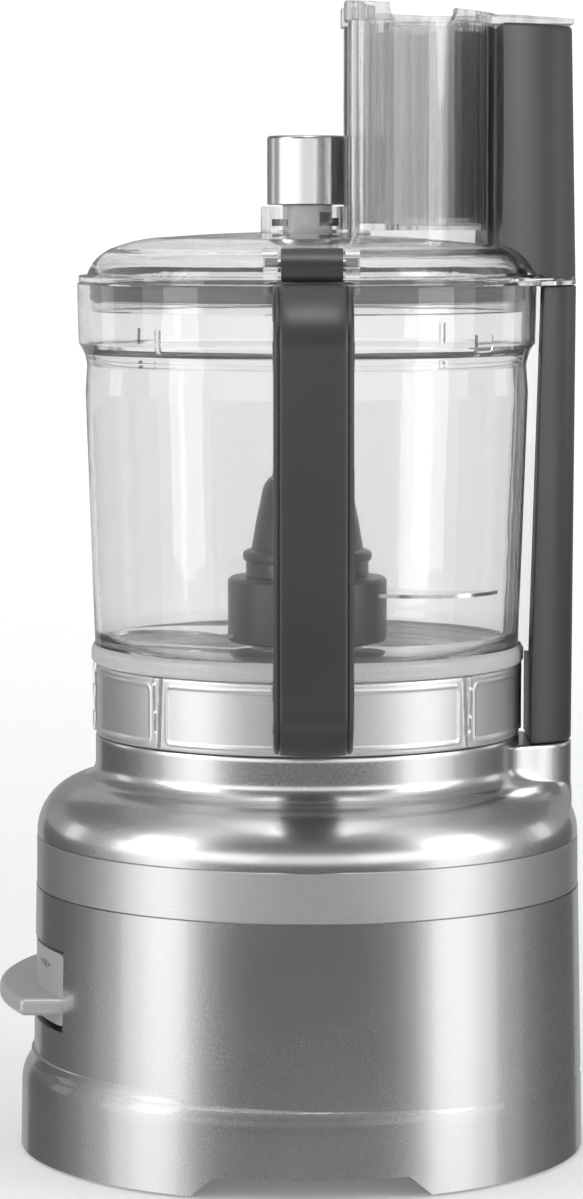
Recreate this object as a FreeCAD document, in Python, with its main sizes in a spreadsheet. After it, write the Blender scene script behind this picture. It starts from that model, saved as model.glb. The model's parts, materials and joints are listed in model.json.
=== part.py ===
import FreeCAD, Part
import Sketcher
import math
import os

# Large food processor, built as an assembly of separate pieces.
# Frame: +Z up, origin on the drive axis at the plane of the foot soles,
# -Y the control paddle, +Y the feed tube and interlock column, +X the handle.
# All sizes in millimetres.

V = FreeCAD.Vector
ROT = FreeCAD.Rotation
doc = FreeCAD.newDocument("food_processor")
sheet = doc.addObject("Spreadsheet::Sheet", "Dims")
rows = [0]
nodes = []


class Q(object):
    """A length that remembers the sheet expression it came from."""

    def __init__(self, v, e):
        self.v = float(v)
        self.e = e

    def __add__(self, o):
        o = q(o)
        return Q(self.v + o.v, "(%s + %s)" % (self.e, o.e))

    def __radd__(self, o):
        return q(o) + self

    def __sub__(self, o):
        o = q(o)
        return Q(self.v - o.v, "(%s - %s)" % (self.e, o.e))

    def __rsub__(self, o):
        return q(o) - self

    def __mul__(self, o):
        o = q(o)
        return Q(self.v * o.v, "(%s * %s)" % (self.e, o.e))

    def __rmul__(self, o):
        return q(o) * self

    def __neg__(self):
        return Q(-self.v, "(0 - %s)" % self.e)


def q(x):
    if isinstance(x, Q):
        return x
    return Q(x, "%.6g" % x if x >= 0 else "(0 - %.6g)" % -x)


def dim(alias, value):
    rows[0] += 1
    sheet.set("A%d" % rows[0], alias)
    sheet.set("B%d" % rows[0], "%.6g" % value)
    sheet.setAlias("B%d" % rows[0], alias)
    return Q(value, "Dims." + alias)


# ---------------------------------------------------------------- driving sizes
foot_height = dim("foot_height", 8.2)
foot_rad = dim("foot_rad", 9.0)
foot_reach = dim("foot_reach", 57.0)
skirt_rad = dim("skirt_rad", 108.9)
skirt_bottom = dim("skirt_bottom", 0.8)
skirt_shift = dim("skirt_shift", -2.2)
skirt_inner = dim("skirt_inner", 104.4)
notch_wide = dim("notch_wide", 45.3)
notch_narrow = dim("notch_narrow", 35.9)
notch_top = dim("notch_top", 8.3)
body_low_rad = dim("body_low_rad", 106.0)
body_top_rad = dim("body_top_rad", 104.7)
body_wall = dim("body_wall", 4.4)
band_low = dim("band_low", 101.9)
band_high = dim("band_high", 120.7)
band_rad = dim("band_rad", 104.5)
band_seat = dim("band_seat", 102.8)
shoulder_rad = dim("shoulder_rad", 104.2)
turret_rad = dim("turret_rad", 81.6)
turret_top = dim("turret_top", 159.7)
cover_wall = dim("cover_wall", 2.5)
shaft_rad = dim("shaft_rad", 5.0)
shaft_low = dim("shaft_low", 18.0)
shaft_top = dim("shaft_top", 229.5)
running_gap = dim("running_gap", 0.05)
stator_rad = dim("stator_rad", 58.0)
stator_low = dim("stator_low", 60.0)
stator_tall = dim("stator_tall", 50.0)
rotor_rad = dim("rotor_rad", 29.5)
bearing_rad = dim("bearing_rad", 11.0)
bearing_wide = dim("bearing_wide", 7.0)
ring_low = dim("ring_low", 160.0)
ring_high = dim("ring_high", 191.6)
ring_rad = dim("ring_rad", 81.5)
bowl_floor = dim("bowl_floor", 190.0)
bowl_wall = dim("bowl_wall", 2.6)
bowl_low_rad = dim("bowl_low_rad", 81.6)
bowl_mid_rad = dim("bowl_mid_rad", 84.9)
collar_rad = dim("collar_rad", 88.0)
bowl_rim = dim("bowl_rim", 332.6)
chimney_rad = dim("chimney_rad", 9.0)
chimney_bore = dim("chimney_bore", 6.5)
chimney_top = dim("chimney_top", 206.0)
column_rad = dim("column_rad", 24.0)
column_mid = dim("column_mid", 78.5)
column_low = dim("column_low", 157.4)
column_high = dim("column_high", 331.5)
rod_rad = dim("rod_rad", 2.9)
rod_bore = dim("rod_bore", 3.0)
rod_y = dim("rod_y", 94.6)
handle_wide = dim("handle_wide", 28.2)
handle_out = dim("handle_out", 150.0)
handle_low = dim("handle_low", 167.2)
handle_high = dim("handle_high", 334.0)
lid_rad = dim("lid_rad", 87.4)
lid_low = dim("lid_low", 333.0)
lid_wall = dim("lid_wall", 2.4)
tube_top = dim("tube_top", 430.0)
tube_arc = dim("tube_arc", 47.2)
tube_mid = dim("tube_mid", 24.1)
cover_rad = dim("cover_rad", 49.9)
cover_mid = dim("cover_mid", 52.5)
knob_rad = dim("knob_rad", 15.4)
knob_low = dim("knob_low", 361.9)
knob_tall = dim("knob_tall", 26.3)
hub_rad = dim("hub_rad", 30.6)
hub_low = dim("hub_low", 195.0)
adapter_rad = dim("adapter_rad", 21.4)
blade_thick = dim("blade_thick", 1.4)
paddle_half = dim("paddle_half", 49.5)
paddle_low = dim("paddle_low", 53.5)
paddle_high = dim("paddle_high", 81.0)
shelf_rad = dim("shelf_rad", 119.0)
shelf_low = dim("shelf_low", 57.6)
shelf_tall = dim("shelf_tall", 6.8)
pivot_y = dim("pivot_y", -97.0)
pivot_z = dim("pivot_z", 67.0)
latch_half = dim("latch_half", 11.0)
pin_rad = dim("pin_rad", 1.5)
doc.recompute()


# ---------------------------------------------------------------- makers
def plane(body, role):
    for f in body.Origin.OriginFeatures:
        if f.Role == role:
            return f


def draw(sk, pts):
    """Closed outline. A point (x, y) or a bulge ('arc', via, end)."""
    start = pts[0]
    cur = start
    segs = []
    for p in pts[1:]:
        if p[0] == "arc":
            segs.append(("arc", cur, p[1], p[2]))
            cur = p[2]
        else:
            segs.append(("line", cur, p))
            cur = p
    if (q(cur[0]).v, q(cur[1]).v) != (q(start[0]).v, q(start[1]).v):
        segs.append(("line", cur, start))
    geo = []
    flips = []
    for s in segs:
        a = V(q(s[1][0]).v, q(s[1][1]).v, 0)
        if s[0] == "line":
            b = V(q(s[2][0]).v, q(s[2][1]).v, 0)
            geo.append(Part.LineSegment(a, b))
        else:
            m = V(q(s[2][0]).v, q(s[2][1]).v, 0)
            b = V(q(s[3][0]).v, q(s[3][1]).v, 0)
            # A sketch arc always runs anticlockwise from its start.
            ccw = (m - a).cross(b - m).z > 0
            geo.append(Part.Arc(a, m, b) if ccw else Part.Arc(b, m, a))
            flips.append(len(geo) - 1 if not ccw else -1)
    ids = sk.addGeometry(geo, False)
    ends = [(2, 1) if k in flips else (1, 2) for k in range(len(ids))]
    n = len(ids)
    cons = []
    binds = []
    for k in range(n):
        cons.append(Sketcher.Constraint("Coincident", ids[k], ends[k][1],
                                        ids[(k + 1) % n], ends[(k + 1) % n][0]))
    for k in range(n):
        for axis, word in ((0, "DistanceX"), (1, "DistanceY")):
            c = q(segs[k][1][axis])
            if abs(c.v) < 1e-9:
                cons.append(Sketcher.Constraint("PointOnObject", ids[k], ends[k][0],
                                                -2 if axis == 0 else -1))
            else:
                cons.append(Sketcher.Constraint(word, -1, 1, ids[k], ends[k][0], c.v))
                if "Dims." in c.e:
                    binds.append((len(cons) - 1, c.e))
    for k, s in enumerate(segs):
        if s[0] == "arc":
            # The centre moves only along the chord's bisector, so one of its
            # two distances settles the arc.
            c = sk.Geometry[ids[k]].Center
            dx = abs(q(s[3][0]).v - q(s[1][0]).v)
            dy = abs(q(s[3][1]).v - q(s[1][1]).v)
            along, word, ref = (c.y, "DistanceY", -1) if dx > dy else (c.x, "DistanceX", -2)
            if abs(along) < 1e-6:
                cons.append(Sketcher.Constraint("PointOnObject", ids[k], 3, ref))
            else:
                cons.append(Sketcher.Constraint(word, -1, 1, ids[k], 3, along))
    sk.addConstraint(cons)
    for i, e in binds:
        sk.setExpression("Constraints[%d]" % i, e)


def sketch_body(name, role, pts, holes=()):
    body = doc.addObject("PartDesign::Body", name)
    sk = body.newObject("Sketcher::SketchObject", name + "_profile")
    sk.AttachmentSupport = [(plane(body, role), "")]
    sk.MapMode = "FlatFace"
    draw(sk, pts)
    for h in holes:
        draw(sk, h)
    return body, sk


def spin(name, pts, pos=None):
    """Revolution about Z of a section given as (radius, height)."""
    body, sk = sketch_body(name, "XZ_Plane", pts)
    r = body.newObject("PartDesign::Revolution", name + "_turn")
    r.Profile = sk
    r.ReferenceAxis = (sk, ["V_Axis"])
    r.Angle = 360
    if pos:
        place(body, *pos)
    return body


def extrude(name, role, pts, length, base=0.0, both=False, holes=(), rev=False):
    """Pad of an outline. XY: along +Z from base. XZ: along Y. YZ: along X."""
    body, sk = sketch_body(name, role, pts, holes)
    b = q(base)
    if abs(b.v) > 1e-9 or "Dims." in b.e:
        axis = {"XY_Plane": (0, 0, 1), "XZ_Plane": (0, 0, 1), "YZ_Plane": (0, 0, 1)}[role]
        sk.AttachmentOffset = FreeCAD.Placement(V(0, 0, b.v), ROT())
        if "Dims." in b.e:
            sk.setExpression("AttachmentOffset.Base.z", b.e)
    pad = body.newObject("PartDesign::Pad", name + "_pad")
    pad.Profile = sk
    ln = q(length)
    pad.Length = ln.v
    if "Dims." in ln.e:
        pad.setExpression("Length", ln.e)
    if both:
        pad.Midplane = True
    if rev:
        pad.Reversed = True
    return body


def place(o, x=0, y=0, z=0, rot=None):
    o.Placement = FreeCAD.Placement(V(q(x).v, q(y).v, q(z).v), rot or ROT())
    for k, c in (("x", x), ("y", y), ("z", z)):
        if isinstance(c, Q):
            o.setExpression("Placement.Base." + k, c.e)
    return o


def bind(o, **kw):
    for k, c in kw.items():
        c = q(c)
        setattr(o, k, c.v)
        if "Dims." in c.e:
            o.setExpression(k, c.e)
    return o


ALONG = {"z": ROT(), "x": ROT(V(0, 1, 0), 90), "y": ROT(V(1, 0, 0), -90)}


def rod(name, r, length, x=0, y=0, z=0, along="z"):
    o = doc.addObject("Part::Cylinder", name)
    bind(o, Radius=r, Height=length)
    return place(o, x, y, z, ALONG[along])


def block(name, x0, x1, y0, y1, z0, z1):
    o = doc.addObject("Part::Box", name)
    bind(o, Length=q(x1) - x0, Width=q(y1) - y0, Height=q(z1) - z0)
    return place(o, x0, y0, z0)


def cone(name, r_low, r_high, y, z0, z1):
    o = doc.addObject("Part::Cone", name)
    bind(o, Radius1=r_low, Radius2=r_high, Height=q(z1) - z0)
    return place(o, 0, y, z0)


def tube(name, r_in, r_out, z0, z1, x=0, y=0):
    a = rod(name + "_outer", r_out, q(z1) - z0, x, y, z0)
    b = rod(name + "_inner", r_in, q(z1) - z0, x, y, z0)
    return cut(name, a, b)


def cut(name, base, *tools):
    tool = tools[0] if len(tools) == 1 else fuse(name + "_tools", *tools)
    o = doc.addObject("Part::Cut", name)
    o.Base = base
    o.Tool = tool
    return o


def fuse(name, *shapes):
    o = doc.addObject("Part::MultiFuse", name)
    o.Shapes = list(shapes)
    return o


def common(name, a, b):
    o = doc.addObject("Part::Common", name)
    o.Base = a
    o.Tool = b
    return o


def group(name, *shapes):
    """Several separate solids in one piece, such as a set of screws."""
    o = doc.addObject("Part::Compound", name)
    o.Links = list(shapes)
    return o


def soften(name, base, radius, test):
    """Fillet on the edges whose middle point passes the test."""
    doc.recompute()
    picks = []
    for i, e in enumerate(base.Shape.Edges):
        try:
            m = e.valueAt((e.FirstParameter + e.LastParameter) / 2.0)
        except Exception:
            continue
        if test(e, m):
            picks.append((i + 1, radius, radius))
    if not picks:
        print("no edge for", name)
        return base
    o = doc.addObject("Part::Fillet", name)
    o.Base = base
    o.Edges = picks
    doc.recompute()
    if o.Shape.isNull() or not o.Shape.isValid() or "Invalid" in o.State:
        print("fillet dropped:", name, len(picks))
        doc.removeObject(o.Name)
        return base
    return o


def upright(e, m):
    d = e.valueAt(e.LastParameter) - e.valueAt(e.FirstParameter)
    return d.Length > 4 and abs(d.z) > 0.97 * d.Length


def node(name, o):
    o.Label = name
    nodes.append((name, o))
    return o


# ---------------------------------------------------------------- base, fixed
# Lower housing: a tapering drum with a stepped, slightly forward skirt.
wall_out = spin("drum_outside", [
    (0, 30.5), (q(body_low_rad), 30.5), (body_low_rad, 34), (body_top_rad, 101.6),
    (band_seat, 101.6), (band_seat, 121.0), (0, 121.0)])
skirt_out = spin("skirt_outside", [
    (0, skirt_bottom), (skirt_rad, skirt_bottom), (skirt_rad - 0.5, 25.4),
    ("arc", (107.8, 29.6), (106.5, 32.6)), ("arc", (105.3, 34.5), (104.7, 37.6)), (0, 37.6)],
    (0, skirt_shift, 0))
drum_hollow = spin("drum_hollow", [
    (0, 33.0), (body_low_rad - body_wall, 33.0), (body_top_rad - body_wall, 101.6),
    (100.3, 103.6), (100.3, 122.0), (0, 122.0)])
skirt_hollow = spin("skirt_hollow", [
    (0, 0.5), (skirt_inner, 0.5), (skirt_inner, 28.0), (101.0, 33.5), (0, 33.5)],
    (0, skirt_shift, 0))
side_notch = extrude("side_notch", "YZ_Plane", [
    (-notch_wide, 0), (notch_wide, 0), (notch_narrow, notch_top), (-notch_narrow, notch_top)],
    260, both=True)
window = block("paddle_window", -50.2, 50.2, -112, -84, 51.4, 82.4)
gland_hole = rod("gland_hole", 6.5, 20, 0, 94, 20, "y")
drum_solid = fuse("drum_solid", wall_out, skirt_out)
drum_void = fuse("drum_void", drum_hollow, skirt_hollow, side_notch, window, gland_hole)
drum = cut("drum", drum_solid, drum_void)
# Screw bosses on ribs, inside the skirt.
boss_parts = []
hole_parts = []
screw_parts = []
screw_spots = []
for k, a in enumerate((62, 118, 242, 298)):
    cx = 93.0 * math.cos(math.radians(a))
    cy = 93.0 * math.sin(math.radians(a)) - 2.2
    screw_spots.append((cx, cy))
    boss_parts.append(rod("boss_%d" % k, 4.5, 11.5, cx, cy, 10.7))
    rib = doc.addObject("Part::Box", "rib_%d" % k)
    bind(rib, Length=12.4, Width=2.4, Height=11.5)
    r = ROT(V(0, 0, 1), a)
    rib.Placement = FreeCAD.Placement(V(cx, cy, 10.7) + r.multVec(V(1, -1.2, 0)), r)
    boss_parts.append(rib)
    hole_parts.append(rod("boss_hole_%d" % k, 1.6, 9, cx, cy, 10.2))
drum_bossed = fuse("drum_bossed", drum, *boss_parts)
lobe_slab = block("lobe_slab", -130, 130, -130, 130, -1, notch_top)
node("base_housing", cut("base_housing", drum_bossed, lobe_slab, *hole_parts))
# The two lower lobes of the skirt, one each side of the finger notches.
lobe_room = block("lobe_room", -130, 130, -130, 130, -1, notch_top)
node("skirt_lobes", common("skirt_lobes", drum, lobe_room))

# Bottom cover with a dished centre and four foot holes.
cover = spin("cover_disc", [
    (0, 2.0), (38.0, 2.0), (39.5, 3.5), (39.5, foot_height), (103.9, foot_height),
    (103.9, foot_height + cover_wall), (37.0, foot_height + cover_wall), (37.0, 4.5), (0, 4.5)],
    (0, 0, 0))
cover_trim = rod("cover_trim", 104.1, 20, 0, skirt_shift, 0)
cover_round = common("cover_round", cover, cover_trim)
foot_holes = [rod("foot_hole_%d" % k, 3.5, 6, sx * foot_reach, sy * foot_reach, 6.5)
              for k, (sx, sy) in enumerate(((1, 1), (-1, 1), (-1, -1), (1, -1)))]
cover_holes = []
for k, (cx, cy) in enumerate(screw_spots):
    cover_holes.append(rod("cover_hole_%d" % k, 1.7, 6, cx, cy, 7))
    cover_holes.append(rod("cover_sink_%d" % k, 3.6, 2.2, cx, cy, 7.4))
vents = [block("vent_%d" % k, -22 + 9 * k, -18 + 9 * k, -74, -50, 6, 12) for k in range(5)]
node("bottom_cover", cut("bottom_cover", cover_round, *(foot_holes + cover_holes + vents)))
for k, (cx, cy) in enumerate(screw_spots):
    screw_parts.append(fuse("cover_screw_%d" % k,
                            rod("cover_screw_head_%d" % k, 3.4, 1.6, cx, cy, 8.0),
                            rod("cover_screw_shank_%d" % k, 1.6, 9.4, cx, cy, 9.5)))
node("cover_screws", group("cover_screws", *screw_parts))
feet = []
for k, (sx, sy) in enumerate(((1, 1), (-1, 1), (-1, -1), (1, -1))):
    feet.append(spin("foot_%d" % k, [
        (0, 0), (foot_rad - 1.2, 0), (foot_rad, 1.2), (foot_rad, foot_height), (3.5, foot_height),
        (3.5, 10.7), (4.6, 10.7), (3.2, 13.0), (0, 13.0)],
        (sx * foot_reach, sy * foot_reach, 0)))
node("rubber_feet", group("rubber_feet", *feet))

# Brushed band slipped over the top of the drum.
node("accent_band", spin("accent_band", [
    (band_seat, band_low), (band_rad - 0.25, band_low), (band_rad, band_low + 0.25),
    (band_rad - 0.15, band_high - 0.3), (band_rad - 0.4, band_high), (band_seat, band_high)]))

# Upper housing: rounded shoulder, flared turret and rear interlock stub.
up_out = spin("shoulder_outside", [
    (0, 121.0), (shoulder_rad, 121.0), ("arc", (98.6, 136.2), (88.0, 142.3)),
    ("arc", (83.3, 144.8), (turret_rad, 149.6)), (turret_rad, turret_top - 0.6),
    (turret_rad - 0.6, turret_top), (77.0, turret_top), (77.0, 157.4), (27.0, 157.4),
    (23.0, 162.2), (0, 162.2)])
up_in = spin("shoulder_inside", [
    (0, 120.0), (100.3, 120.0), (100.3, 121.6), ("arc", (96.0, 134.0), (86.4, 139.2)),
    ("arc", (80.4, 142.2), (78.4, 149.6)), (78.4, 154.6), (25.4, 154.6), (21.4, 159.2), (0, 159.2)])
stub_box = block("stub_box", -30, 30, 76, 104, 124, 156.6)
stub_round = rod("stub_round", column_rad - 0.6, 60, 0, column_mid, 110)
stub = common("stub", stub_box, stub_round)
up_solid = fuse("shoulder_solid", up_out, stub)
stub_void = common("stub_void", block("stub_void_box", -24, 24, 84, 101, 119, 153.6),
                   rod("stub_void_round", column_rad - 3.1, 60, 0, column_mid, 110))
stub_well = rod("stub_well", 5.4, 34.6, 0, rod_y, 119)
stub_bore = rod("stub_bore", rod_bore + 0.1, 10, 0, rod_y, 150)
sleeve_bore = rod("sleeve_bore", 14.0, 20, 0, 0, 150)
node("upper_housing", cut("upper_housing", up_solid, up_in, stub_void, stub_well, stub_bore, sleeve_bore))

node("shaft_sleeve", spin("shaft_sleeve", [
    (8.2, 150), (14.0, 150), (14.0, 162.2), (20.0, 162.2), (20.0, 164.6), (12.6, 165.4),
    (11.0, 168.0), (10.6, 185.4), (9.8, 186.2), (7.0, 186.2), (7.0, 183.6), (8.2, 183.6)]))
node("shaft_seal", spin("shaft_seal", [
    (shaft_rad + running_gap, 179.0), (8.2, 179.0), (8.2, 183.4), (shaft_rad + running_gap, 183.4),
    (5.9, 182.2), (5.9, 180.2)]))

# ---------------------------------------------------------------- motor
def spider(name, z0, z1, boss_z0, boss_z1, seat_z0, seat_z1, pads):
    bars = [block(name + "_bar_a", -68, 68, -7, 7, z0, z1),
            block(name + "_bar_b", -7, 7, -68, 68, z0, z1),
            rod(name + "_boss", 16, q(boss_z1) - boss_z0, 0, 0, boss_z0)]
    for k, (x, y) in enumerate(pads):
        b = doc.addObject("Part::Box", "%s_arm_%d" % (name, k))
        bind(b, Length=math.hypot(x, y), Width=12, Height=q(z1) - z0)
        r = ROT(V(0, 0, 1), math.degrees(math.atan2(y, x)))
        b.Placement = FreeCAD.Placement(V(0, 0, z0) + r.multVec(V(0, -6, 0)), r)
        bars.append(b)
        bars.append(rod("%s_pad_%d" % (name, k), 9, q(z1) - z0, x, y, z0))
    whole = fuse(name + "_whole", *bars)
    seat = rod(name + "_seat", bearing_rad, q(seat_z1) - seat_z0, 0, 0, seat_z0)
    thru = rod(name + "_thru", 7.5, 60, 0, 0, q(boss_z0) - 10)
    ties = [rod("%s_tie_%d" % (name, k), 2.0, 20, x, y, q(z0) - 5)
            for k, (x, y) in enumerate(((62, 0), (0, 62), (-62, 0), (0, -62)))]
    return cut(name, whole, seat, thru, *ties)


mount_spots = ((46, 46), (-46, 46), (-46, -46), (46, -46))
node("motor_bracket_lower", spider("motor_bracket_lower", 24, 27.5, 20, 31, 22, 29, mount_spots))
node("motor_bracket_upper", spider("motor_bracket_upper", 124, 127.5, 124, 134, 126, 133, ()))
node("lower_bearing", tube("lower_bearing", shaft_rad + running_gap, bearing_rad, 22, 29))
node("upper_bearing", tube("upper_bearing", shaft_rad + running_gap, bearing_rad, 126, 133))
node("isolation_mounts", group("isolation_mounts", *[
    spin("mount_%d" % k, [(0, 10.7), (9, 10.7), (9, 12.5), (6.6, 17.3), (9, 22.2), (9, 24), (0, 24)],
         (x, y, 0)) for k, (x, y) in enumerate(mount_spots)]))
node("motor_screws", group("motor_screws", *[
    fuse("tie_rod_%d" % k, rod("tie_shank_%d" % k, 2.0, 105.5, x, y, 22.0),
         rod("tie_head_%d" % k, 4.0, 3.0, x, y, 127.5),
         rod("tie_nut_%d" % k, 3.6, 2.4, x, y, 21.6))
    for k, (x, y) in enumerate(((62, 0), (0, 62), (-62, 0), (0, -62)))]))
core_ring = tube("stator_ring", 38, stator_rad, stator_low, stator_low + stator_tall)
teeth = []
for k in range(12):
    t = doc.addObject("Part::Box", "tooth_%d" % k)
    bind(t, Length=9.5, Width=7, Height=stator_tall)
    r = ROT(V(0, 0, 1), 30 * k + 15)
    t.Placement = FreeCAD.Placement(V(0, 0, 60) + r.multVec(V(30.1, -3.5, 0)), r)
    t.setExpression("Placement.Base.z", "Dims.stator_low")
    teeth.append(t)
node("stator_core", fuse("stator_core", core_ring, *teeth))
coils = []
for k, z in enumerate((49.6, 110.4)):
    c = spin("coil_%d" % k, [(33, z + 1.5), (34.5, z), (52, z), (54, z + 2), (54, z + 7.4),
                             (51.5, z + 9.6), (35, z + 9.6), (33, z + 8)])
    coils.append(c)
node("stator_windings", group("stator_windings", *coils))

# Rotor.
node("motor_shaft", spin("motor_shaft", [
    (0, shaft_low), (shaft_rad - 0.6, shaft_low), (shaft_rad, shaft_low + 0.6),
    (shaft_rad, shaft_top - 1.0), (shaft_rad - 1.0, shaft_top), (0, shaft_top)]))
node("rotor_core", tube("rotor_core", shaft_rad, rotor_rad, stator_low, stator_low + stator_tall))
fan_hub = tube("fan_hub", shaft_rad, 12, 33.5, 46)
fan_disc = tube("fan_disc", 11, 46, 33.5, 35)
fan_blades = []
for k in range(12):
    b = doc.addObject("Part::Box", "fan_blade_%d" % k)
    bind(b, Length=35, Width=1.6, Height=9.5)
    r = ROT(V(0, 0, 1), 30 * k)
    b.Placement = FreeCAD.Placement(V(0, 0, 34.5) + r.multVec(V(10.5, 3.0, 0)), r)
    fan_blades.append(b)
node("cooling_fan", fuse("cooling_fan", fan_hub, fan_disc, *fan_blades))

# ---------------------------------------------------------------- controls
board_spots = ((-34.5, -70), (17, -90))
board_blank = block("board_blank", -38, 20, -93, -66, 14.7, 16.3)
board_holes = [rod("board_hole_%d" % k, 1.3, 8, x, y, 12) for k, (x, y) in enumerate(board_spots)]
node("control_board", fuse("control_board",
     cut("board_plate", board_blank, *board_holes),
     block("board_relay", -34, -18, -88, -74, 16.3, 30),
     block("board_coil", -10, 4, -88, -76, 16.3, 26),
     rod("board_cap", 5, 15, 13, -76, 16.3)))
node("board_screws", group("board_screws", *[
    fuse("board_screw_%d" % k, rod("board_post_%d" % k, 2.4, 4.0, x, y, 10.7),
         rod("board_shank_%d" % k, 1.3, 6.0, x, y, 12.0),
         rod("board_head_%d" % k, 2.4, 1.2, x, y, 16.3)) for k, (x, y) in enumerate(board_spots)]))
node("run_capacitor", soften("run_capacitor",
     rod("capacitor_can", 13, 46, -76, 40, 10.7), 2.0, lambda e, m: m.z > 50))
br_plate = block("bracket_plate", -60, 60, -89.5, -87, 60, 74)
br_ear_a = block("bracket_ear_a", 14, 17, -99.2, -87, 63.5, 70.5)
br_ear_b = block("bracket_ear_b", -17, -14, -99.2, -87, 63.5, 70.5)
br_round = rod("bracket_round", 100.9, 40, 0, 0, 50)
br_all = fuse("bracket_all", br_plate, br_ear_a, br_ear_b)
br_cut = common("bracket_trim", br_all, br_round)
node("paddle_bracket", cut("paddle_bracket", br_cut,
     rod("bracket_pin_hole", pin_rad, 60, -30, pivot_y, pivot_z, "x"),
     block("bracket_switch_hole", -6, 6, -92, -80, 64, 70)))
node("paddle_pivot_pin", rod("paddle_pivot_pin", pin_rad, 36, -18, pivot_y, pivot_z, "x"))
spring_rings = []
for k in range(5):
    t = doc.addObject("Part::Torus", "paddle_coil_%d" % k)
    bind(t, Radius1=2.6, Radius2=0.45)
    place(t, -4.0 + 2.0 * k, pivot_y, pivot_z, ROT(V(0, 1, 0), 90))
    spring_rings.append(t)
node("paddle_spring", group("paddle_spring", *spring_rings))
node("speed_switch", fuse("speed_switch",
     block("switch_case", -10, 10, -86.6, -72, 57, 77),
     block("switch_stem", -4, 4, -92.6, -86.5, 65, 69)))

# Paddle: curved plate with a shelf to press.
pl_ring = tube("paddle_plate_ring", 102.0, 104.7, paddle_low, paddle_high)
pl_box = block("paddle_plate_box", -paddle_half, paddle_half, -112, -60, paddle_low, paddle_high)
plate = common("paddle_plate", pl_ring, pl_box)
sh_ring = tube("paddle_shelf_ring", 103.0, shelf_rad, shelf_low, shelf_low + shelf_tall)
sh_box = block("paddle_shelf_box", -48.5, 48.5, -125, -60, shelf_low, shelf_low + shelf_tall)
shelf_raw = common("paddle_shelf_raw", sh_ring, sh_box)
shelf = soften("paddle_shelf", shelf_raw, 2.4,
               lambda e, m: (abs(m.y) > 112 or (abs(m.x) > 47 and math.hypot(m.x, m.y) > 106)))
lug_a = block("paddle_lug_a", 8, 12, -103.2, -94.4, 62.5, 71.5)
lug_b = block("paddle_lug_b", -12, -8, -103.2, -94.4, 62.5, 71.5)
pad_all = fuse("paddle_all", plate, shelf, lug_a, lug_b)
pad_soft = soften("paddle_soft", pad_all, 3.5,
                  lambda e, m: abs(abs(m.x) - 49.5) < 0.01 and abs(e.Length - 2.9) < 1.2
                  and (abs(m.z - 53.5) < 0.01 or abs(m.z - 81) < 0.01))
node("paddle", cut("paddle", pad_soft,
     rod("paddle_pin_hole", pin_rad + running_gap, 60, -30, pivot_y, pivot_z, "x")))

# Interlock plunger, its spring and its switch, under the rear stub.
node("interlock_plunger", fuse("interlock_plunger",
     rod("plunger_rod", rod_rad, 33.1, 0, rod_y, 124),
     rod("plunger_collar", 5.0, 2.0, 0, rod_y, 146)))
node("interlock_switch", cut("interlock_switch",
     block("interlock_case", -8, 8, 86, 97.2, 116, 131),
     rod("interlock_bore", rod_bore + 0.1, 12, 0, rod_y, 119.5)))


def spring(name, n, r, wire, z0, z1):
    rings = []
    for i in range(n):
        t = doc.addObject("Part::Torus", "%s_coil_%d" % (name, i))
        bind(t, Radius1=r, Radius2=wire)
        place(t, 0, rod_y, z0 + wire + (z1 - z0 - 2 * wire) * i / (n - 1.0))
        rings.append(t)
    return group(name, *rings)


node("plunger_spring", spring("plunger_spring", 6, 4.0, 0.5, 131.1, 145.9))
node("cord_gland", cut("cord_gland",
     fuse("gland_solid", rod("gland_body", 6.5, 10.6, 0, 95.2, 20, "y"),
          rod("gland_flange", 8.6, 3.0, 0, 96.2, 20, "y")),
     rod("gland_bore", 3.75, 30, 0, 90, 20, "y")))

# ---------------------------------------------------------------- bowl
bowl_out = spin("bowl_outside", [
    (0, bowl_floor - bowl_wall), (70.0, bowl_floor - bowl_wall), ("arc", (76.0, 188.6), (79.0, 191.8)),
    (bowl_low_rad - 0.4, 191.8), (bowl_low_rad, 192.4), (bowl_mid_rad, 291.0), (84.3, 301.0),
    ("arc", (85.4, 306.0), (collar_rad - 0.5, 309.6)), (collar_rad, bowl_rim - 0.6),
    (collar_rad - 0.6, bowl_rim), (0, bowl_rim)])
bowl_in = spin("bowl_inside", [
    (0, bowl_floor), (69.0, bowl_floor), ("arc", (75.8, 193.2), (78.9, 200.0)),
    (bowl_mid_rad - bowl_wall, 291.0), (81.9, 303.0), (82.2, 306.4), (85.0, 308.6),
    (85.3, bowl_rim + 1), (0, bowl_rim + 1)])
bracket_web = extrude("column_web", "YZ_Plane", [
    (78.0, 192.5), (84.2, 192.5), (88.2, 331.2), (78.0, 331.2)], 30, both=True)
chimney = rod("chimney", chimney_rad, chimney_top - 188, 0, 0, 188)
chimney_hole = rod("chimney_hole", chimney_bore, 60, 0, 0, 170)
bowl_solid = fuse("bowl_solid", bowl_out, bracket_web)
bowl_cup = cut("bowl_cup", bowl_solid, bowl_in)
stops = []
for k, (a, w, z0, z1, d) in enumerate(((-41.0, 2.0, 307.5, 316, 1.4), (49.0, 9.0, 307.0, 314.2, 1.6),
                                       (139.0, 2.0, 307.5, 316, 1.4), (229.0, 9.0, 307.0, 314.2, 1.6))):
    b = doc.addObject("Part::Box", "bowl_stop_%d" % k)
    bind(b, Length=d + 1.2, Width=w, Height=z1 - z0)
    r = ROT(V(0, 0, 1), a)
    b.Placement = FreeCAD.Placement(V(0, 0, z0) + r.multVec(V(85.2 - d, -w / 2.0, 0)), r)
    stops.append(b)
bowl_all = fuse("bowl_all", bowl_cup, chimney, *stops)
node("work_bowl", cut("work_bowl", bowl_all, chimney_hole))

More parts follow.
